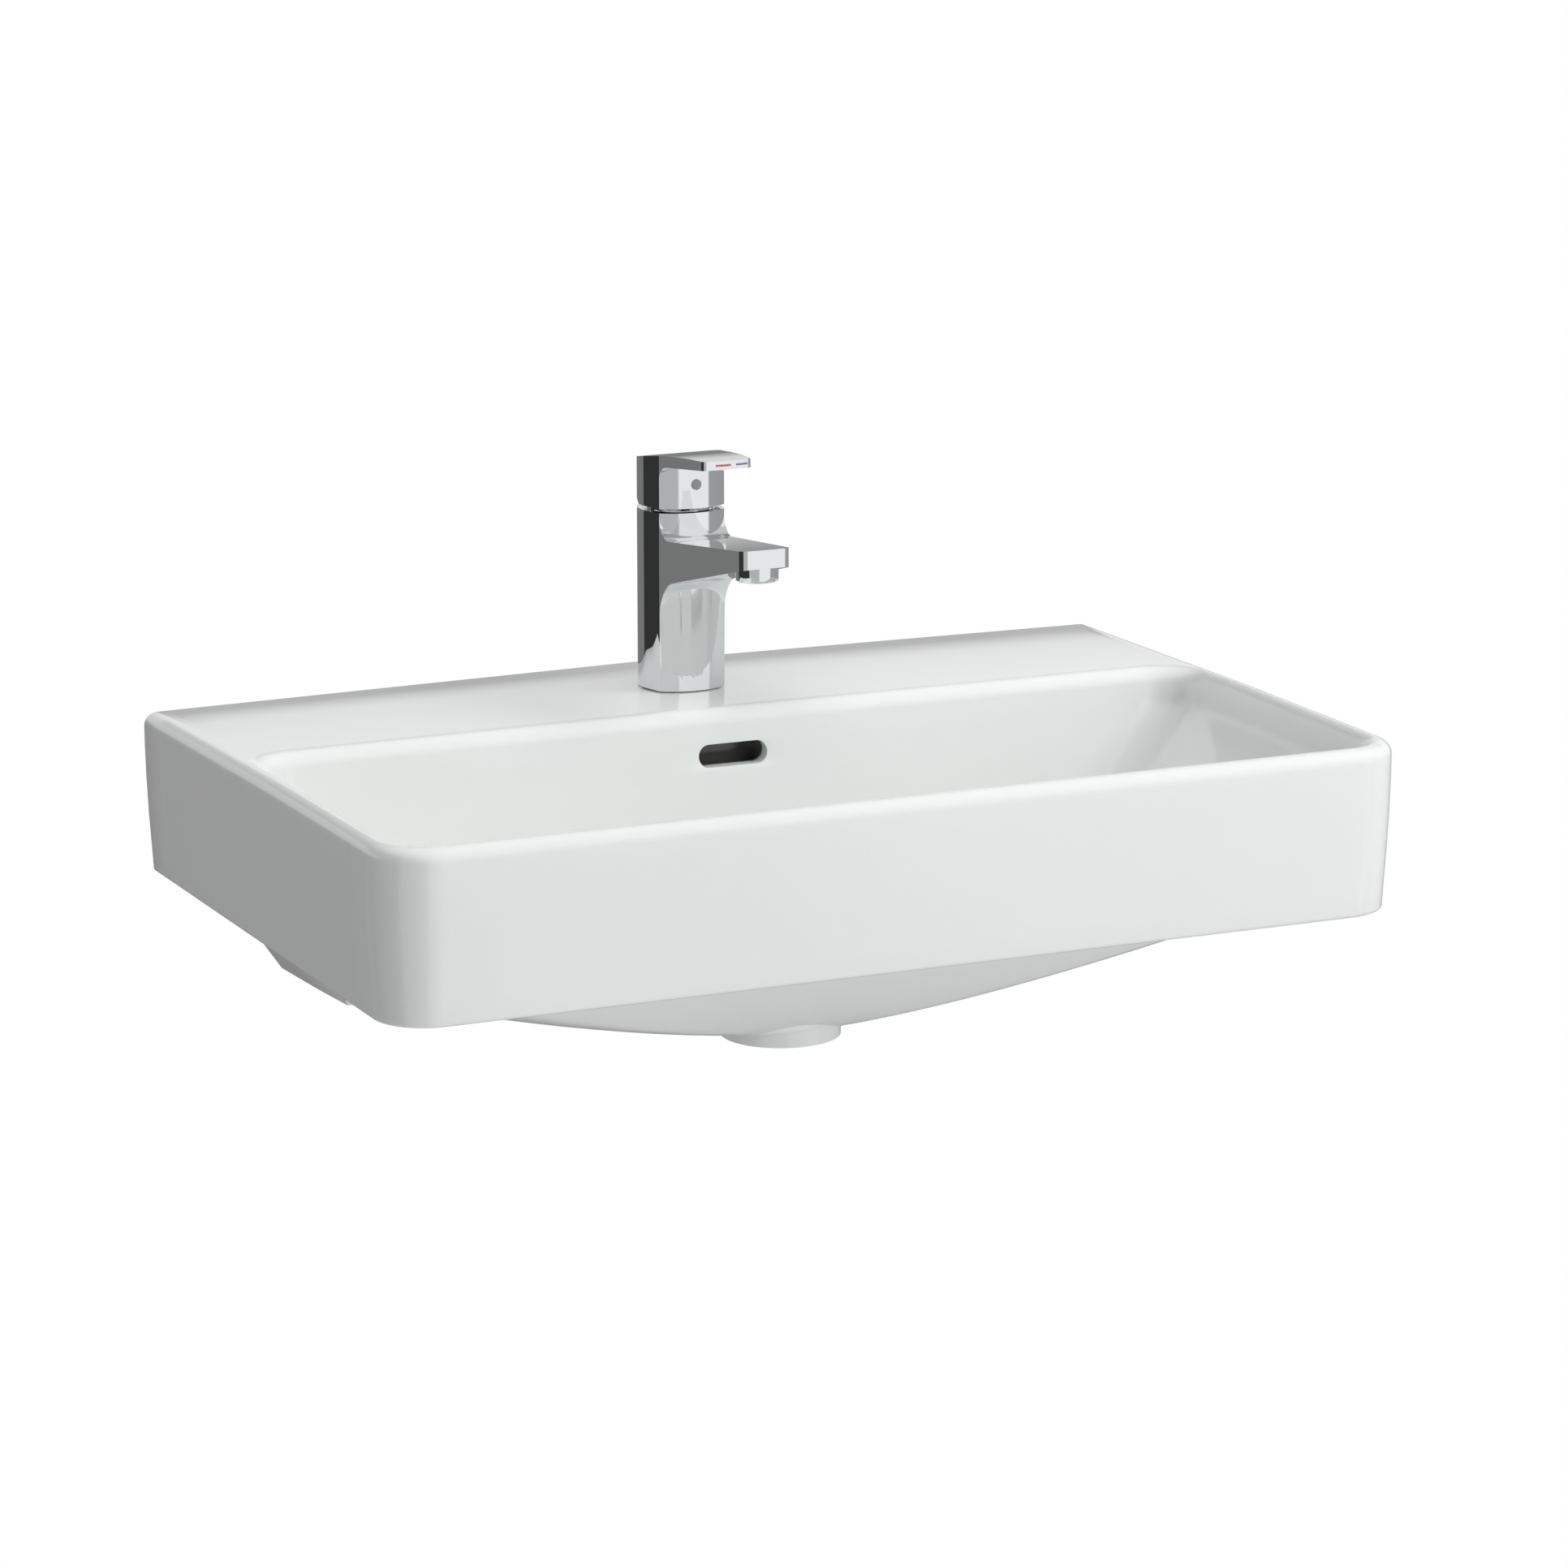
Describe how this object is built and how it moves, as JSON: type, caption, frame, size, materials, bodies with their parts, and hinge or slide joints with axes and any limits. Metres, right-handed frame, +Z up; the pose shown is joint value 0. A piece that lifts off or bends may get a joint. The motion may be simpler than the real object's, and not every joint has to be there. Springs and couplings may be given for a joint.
{
  "type": "washbasin with mixer tap",
  "caption": "Wall-hung glazed ceramic washbasin with a tap ledge, overflow slot, chrome single-lever mixer tap and push-to-close waste.",
  "frame": {"origin": "middle of the two wall-fixing holes, on the wall plane, 75 mm under the rim", "axes": "+X to the right of a person who faces the basin, +Y into the wall, +Z up; the basin's front faces -Y"},
  "size_m": [0.6, 0.38, 0.3125],
  "materials": {
    "glaze": "glossy",
    "chrome": "mirror",
    "steel": "satin",
    "brass": "satin",
    "rubber": "matte",
    "white_plastic": "matte",
    "grey_plastic": "glossy",
    "blue_plastic": "matte",
    "disc_ceramic": "satin",
    "red_mark": "glossy",
    "blue_mark": "glossy"
  },
  "bodies": {
    "root": {"basin": "glaze", "tap_body": "chrome", "base_seal": "rubber", "fixing_stud": "steel", "clamp_gasket": "rubber", "clamp_plate": "steel", "stud_nut": "brass", "cartridge_housing": "white_plastic", "port_seals": "rubber", "chamber_seal": "rubber", "fixed_disc": "disc_ceramic", "cartridge_nut": "brass", "trim_dome": "chrome", "aerator_seal": "rubber", "aerator_insert": "grey_plastic", "aerator_ring": "chrome", "waste_body": "chrome", "flange_seal": "rubber", "boss_gasket": "rubber", "ring_nut": "brass", "latch_capsule": "white_plastic"},
    "turret": {"rotor": "white_plastic", "pivot_pin": "steel"},
    "lever": {"lever": "chrome", "spindle": "steel", "grub_screw": "steel", "screw_plug": "grey_plastic", "hot_mark": "red_mark", "cold_mark": "blue_mark"},
    "disc": {"moving_disc": "disc_ceramic", "disc_carrier": "blue_plastic"},
    "plug": {"plug_cap": "chrome", "plug_stem": "steel", "plug_seal": "rubber"}
  },
  "joints": [
    {"name": "lever_turn", "type": "hinge", "parent": "root", "child": "turret", "pos_m": [0, -0.066, 0.165], "axis": [0, 0, 1], "range_deg": [-50, 50]},
    {"name": "lever_lift", "type": "hinge", "parent": "turret", "child": "lever", "pos_m": [0, -0.066, 0.165], "axis": [-1, 0, 0], "range_deg": [0, 20]},
    {"name": "disc_slide", "type": "slide", "parent": "turret", "child": "disc", "axis": [0, -1, 0], "range_m": [0, 0.0041]},
    {"name": "plug_slide", "type": "slide", "parent": "root", "child": "plug", "axis": [0, 0, 1], "range_m": [0, 0.008]}
  ],
  "couplings": [
    {"joint": "disc_slide", "follows": "lever_lift", "m_per_rad": 0.0115}
  ]
}
